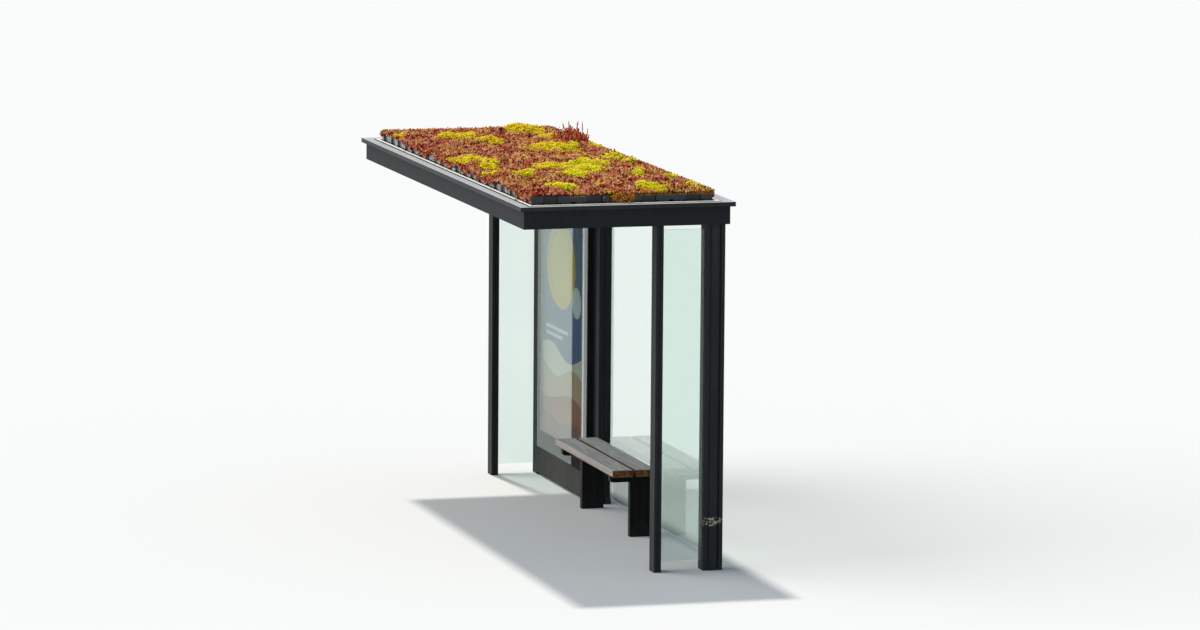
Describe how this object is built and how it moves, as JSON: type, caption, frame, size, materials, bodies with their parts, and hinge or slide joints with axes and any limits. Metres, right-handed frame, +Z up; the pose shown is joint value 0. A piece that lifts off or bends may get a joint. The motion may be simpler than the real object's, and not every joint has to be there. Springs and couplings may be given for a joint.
{
  "type": "bus shelter",
  "caption": "Open-fronted glazed bus shelter with a poster case, a timber bench and a flat roof planted with stonecrop in trays.",
  "frame": {"origin": "ground level under the centre of the roof", "axes": "+Z up, +X along the shelter towards the end away from the poster case, -Y towards the open front"},
  "size_m": [4.32, 1.472, 2.6061],
  "materials": {
    "anthracite_paint": "satin anthracite powder coat",
    "clear_glass": "clear toughened glass with a green edge",
    "door_glass": "clear glass door of the poster case",
    "black_rubber": "matt",
    "case_sheet": "satin dark grey paint",
    "poster_board": "printed sheet on a white board",
    "edging_aluminium": "satin painted aluminium that reflects the sky",
    "deck_board": "board under a pale roof membrane",
    "ceiling_board": "plain grey panels",
    "tray_plastic": "black moulded plastic",
    "growing_medium": "granular mineral soil",
    "sedum_plants": "red, green and yellow stonecrop",
    "weathered_wood": "grey weathered hardwood",
    "bench_steel": "black powder coat"
  },
  "bodies": {
    "root": {"front_post_left": "anthracite_paint", "front_post_right": "anthracite_paint", "back_post_left": "anthracite_paint", "back_post_mid": "anthracite_paint", "back_post_right": "anthracite_paint", "glazing_bar": "anthracite_paint", "end_glass_left": "clear_glass", "end_glass_right": "clear_glass", "back_glass_mid": "clear_glass", "back_glass_right": "clear_glass", "end_gaskets_left": "black_rubber", "end_gaskets_right": "black_rubber", "back_gaskets_mid": "black_rubber", "back_gaskets_right": "black_rubber", "case_body": "case_sheet", "case_back_panel": "case_sheet", "case_lower_panel": "case_sheet", "case_door_frame": "case_sheet", "case_door_glass": "door_glass", "poster_board": "poster_board", "fascia_front": "anthracite_paint", "fascia_back": "anthracite_paint", "fascia_left": "anthracite_paint", "fascia_right": "anthracite_paint", "edging_front": "edging_aluminium", "edging_back": "edging_aluminium", "edging_left": "edging_aluminium", "edging_right": "edging_aluminium", "roof_beam_left": "anthracite_paint", "roof_beam_mid_left": "anthracite_paint", "roof_beam_mid_right": "anthracite_paint", "roof_beam_right": "anthracite_paint", "roof_deck": "deck_board", "ceiling_panels": "ceiling_board", "tray_row_front": "tray_plastic", "tray_row_back": "tray_plastic", "growing_medium": "growing_medium", "sedum_front": "sedum_plants", "sedum_back": "sedum_plants", "bench_plank_front": "weathered_wood", "bench_plank_back": "weathered_wood", "bench_leg_left": "bench_steel", "bench_leg_right": "bench_steel", "bench_arm_left": "bench_steel", "bench_arm_right": "bench_steel"}
  },
  "joints": []
}
